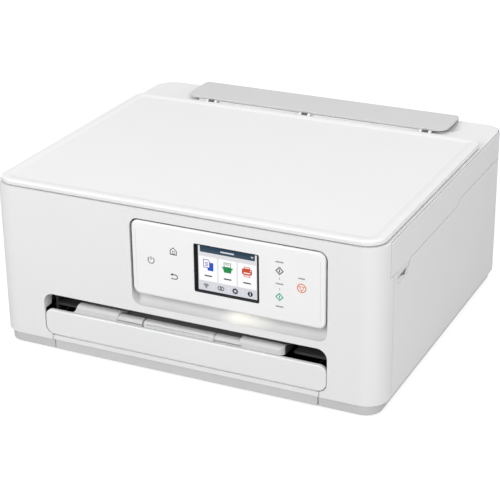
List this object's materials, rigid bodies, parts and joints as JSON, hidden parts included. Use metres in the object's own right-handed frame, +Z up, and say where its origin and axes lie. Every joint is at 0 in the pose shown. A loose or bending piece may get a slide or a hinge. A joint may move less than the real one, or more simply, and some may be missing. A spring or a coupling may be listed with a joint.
{
  "type": "inkjet printer",
  "caption": "Compact white all-in-one inkjet printer with flatbed scanner, tilting touch panel, paper cassette, output tray and rear feed.",
  "frame": {"origin": "on the table, under the middle of the printer", "axes": "+X to the right seen from the front, +Y to the back, +Z up"},
  "size_m": [0.375, 0.328, 0.1616],
  "materials": {
    "white_plastic": "satin moulded",
    "grey_plastic": "satin moulded",
    "dark_plastic": "fine texture",
    "rubber": "matt",
    "steel": "plated",
    "natural_plastic": "smooth",
    "board": "smooth",
    "foam": "matt",
    "glass": "polished",
    "screen": "polished",
    "lamp": "frosted"
  },
  "bodies": {
    "casing": {"base_tray": "grey_plastic", "rubber_feet": "rubber", "case_screws": "steel", "front_panel": "white_plastic", "panel_bay": "white_plastic", "left_side_cover": "white_plastic", "right_side_cover": "white_plastic", "rear_panel": "white_plastic", "rear_access_cover": "white_plastic", "mains_inlet": "dark_plastic", "usb_socket": "steel", "power_supply": "dark_plastic", "logic_board": "board", "side_frames": "dark_plastic", "main_chassis": "steel", "carriage_shaft": "steel", "toothed_belt": "rubber", "carriage_motor": "steel", "feed_motor": "steel", "print_platen": "dark_plastic", "star_wheel_bar": "dark_plastic", "purge_unit": "dark_plastic", "waste_ink_pad": "foam", "rear_feed_guide": "dark_plastic", "hinge_posts": "steel"},
    "scanner_unit": {"scanner_case": "white_plastic", "scanner_frame": "white_plastic", "scanner_glass": "glass", "rear_hopper": "grey_plastic"},
    "document_lid": {"document_cover": "white_plastic", "document_pad": "foam", "lid_hinges": "white_plastic"},
    "scan_bar": {"scan_sensor": "dark_plastic"},
    "support": {"paper_support": "grey_plastic"},
    "rear_guide_left": {"left_rear_guide": "grey_plastic"},
    "rear_guide_right": {"right_rear_guide": "grey_plastic"},
    "panel": {"operation_panel": "white_plastic", "panel_back_cover": "dark_plastic", "display_bezel": "dark_plastic", "display": "screen", "status_light": "lamp"},
    "cassette": {"cassette_tray": "grey_plastic", "cassette_face": "white_plastic"},
    "cassette_guide_left": {"left_cassette_guide": "grey_plastic"},
    "cassette_guide_right": {"right_cassette_guide": "grey_plastic"},
    "cassette_guide_end": {"cassette_end_guide": "grey_plastic"},
    "out_tray": {"output_tray": "grey_plastic"},
    "out_extension": {"output_extension": "dark_plastic", "extension_handle": "grey_plastic"},
    "carriage": {"print_carriage": "dark_plastic", "black_cartridge": "dark_plastic", "colour_cartridge": "dark_plastic"},
    "drive_pulley": {"motor_pulley": "natural_plastic"},
    "free_pulley": {"idler_pulley": "natural_plastic"},
    "feed_shaft": {"feed_roller": "steel"},
    "idler": {"idler_gear": "natural_plastic"},
    "eject_shaft": {"eject_roller": "steel"},
    "feed_pinion": {"motor_pinion": "natural_plastic"},
    "transport_shaft": {"transport_roller": "rubber"},
    "star_axle": {"star_wheels": "steel"}
  },
  "joints": [
    {"name": "scanner_lift", "type": "hinge", "parent": "casing", "child": "scanner_unit", "pos_m": [0, 0.1585, 0.1356], "axis": [-1, 0, 0], "range_deg": [0, 40]},
    {"name": "lid_lift", "type": "hinge", "parent": "scanner_unit", "child": "document_lid", "pos_m": [0, 0.1121, 0.1583], "axis": [-1, 0, 0], "range_deg": [0, 80]},
    {"name": "scan_travel", "type": "slide", "parent": "scanner_unit", "child": "scan_bar", "axis": [1, 0, 0], "range_m": [0, 0.3]},
    {"name": "support_fold", "type": "hinge", "parent": "scanner_unit", "child": "support", "pos_m": [0, 0.1612, 0.1589], "axis": [-1, 0, 0], "range_deg": [0, 115]},
    {"name": "rear_guide_left_slide", "type": "slide", "parent": "scanner_unit", "child": "rear_guide_left", "axis": [1, 0, 0], "range_m": [0, 0.055]},
    {"name": "rear_guide_right_slide", "type": "slide", "parent": "scanner_unit", "child": "rear_guide_right", "axis": [-1, 0, 0], "range_m": [0, 0.055]},
    {"name": "panel_tilt", "type": "hinge", "parent": "casing", "child": "panel", "pos_m": [0.0462, -0.1595, 0.1406], "axis": [-1, 0, 0], "range_deg": [0, 45]},
    {"name": "cassette_slide", "type": "slide", "parent": "casing", "child": "cassette", "axis": [0, -1, 0], "range_m": [0, 0.24]},
    {"name": "cassette_guide_left_slide", "type": "slide", "parent": "cassette", "child": "cassette_guide_left", "axis": [1, 0, 0], "range_m": [0, 0.055]},
    {"name": "cassette_guide_right_slide", "type": "slide", "parent": "cassette", "child": "cassette_guide_right", "axis": [-1, 0, 0], "range_m": [0, 0.055]},
    {"name": "cassette_guide_end_slide", "type": "slide", "parent": "cassette", "child": "cassette_guide_end", "axis": [0, 1, 0], "range_m": [0, 0.1]},
    {"name": "output_tray_slide", "type": "slide", "parent": "casing", "child": "out_tray", "axis": [0, -1, 0], "range_m": [0, 0.07]},
    {"name": "output_extension_slide", "type": "slide", "parent": "out_tray", "child": "out_extension", "axis": [0, -1, 0], "range_m": [0, 0.06]},
    {"name": "carriage_travel", "type": "slide", "parent": "casing", "child": "carriage", "axis": [-1, 0, 0], "range_m": [0, 0.25]},
    {"name": "drive_pulley_turn", "type": "hinge", "parent": "casing", "child": "drive_pulley", "pos_m": [-0.158, 0.0565, 0.1], "axis": [0, 1, 0], "continuous": true},
    {"name": "free_pulley_turn", "type": "hinge", "parent": "casing", "child": "free_pulley", "pos_m": [0.164, 0.0565, 0.1], "axis": [0, 1, 0], "continuous": true},
    {"name": "feed_turn", "type": "hinge", "parent": "casing", "child": "feed_shaft", "pos_m": [0, 0.04, 0.046], "axis": [1, 0, 0], "continuous": true},
    {"name": "idler_turn", "type": "hinge", "parent": "casing", "child": "idler", "pos_m": [-0.1625, 0.004, 0.046], "axis": [1, 0, 0], "continuous": true},
    {"name": "eject_turn", "type": "hinge", "parent": "casing", "child": "eject_shaft", "pos_m": [0, -0.032, 0.046], "axis": [1, 0, 0], "continuous": true},
    {"name": "pinion_turn", "type": "hinge", "parent": "casing", "child": "feed_pinion", "pos_m": [-0.1625, 0.06556, 0.0367], "axis": [1, 0, 0], "continuous": true},
    {"name": "transport_turn", "type": "hinge", "parent": "casing", "child": "transport_shaft", "pos_m": [0, 0.108, 0.052], "axis": [1, 0, 0], "continuous": true},
    {"name": "star_turn", "type": "hinge", "parent": "casing", "child": "star_axle", "pos_m": [0, -0.032, 0.0572], "axis": [1, 0, 0], "continuous": true}
  ],
  "couplings": [
    {"joint": "rear_guide_right_slide", "follows": "rear_guide_left_slide", "ratio": 1},
    {"joint": "cassette_guide_right_slide", "follows": "cassette_guide_left_slide", "ratio": 1},
    {"joint": "drive_pulley_turn", "follows": "carriage_travel", "rad_per_m": -141.84},
    {"joint": "free_pulley_turn", "follows": "carriage_travel", "rad_per_m": -141.84},
    {"joint": "idler_turn", "follows": "feed_turn", "ratio": -1.1429},
    {"joint": "eject_turn", "follows": "feed_turn", "ratio": 1},
    {"joint": "pinion_turn", "follows": "feed_turn", "ratio": -2.4}
  ]
}
